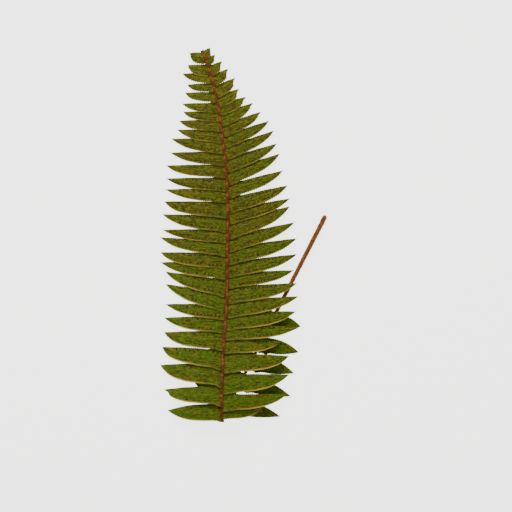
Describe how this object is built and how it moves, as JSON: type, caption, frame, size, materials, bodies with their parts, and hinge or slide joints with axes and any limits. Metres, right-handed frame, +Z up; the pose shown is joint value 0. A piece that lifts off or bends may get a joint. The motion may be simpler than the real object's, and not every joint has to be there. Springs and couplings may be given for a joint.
{
  "type": "fern frond",
  "caption": "Cut sword-fern frond lying underside up: a long tapering blade of toothed, overlapping leaflets, its stem folded back beneath it.",
  "frame": {"origin": "middle of the frond's box, on the surface it lies on", "axes": "+Y along the blade towards its tip, +Z up from the surface, +X to the side where the cut stem comes out"},
  "size_m": [0.1922, 0.4308, 0.0276],
  "materials": {
    "leaf": "thin leathery fern leaf, satin"
  },
  "bodies": {
    "root": {"frond": "leaf"}
  },
  "joints": []
}
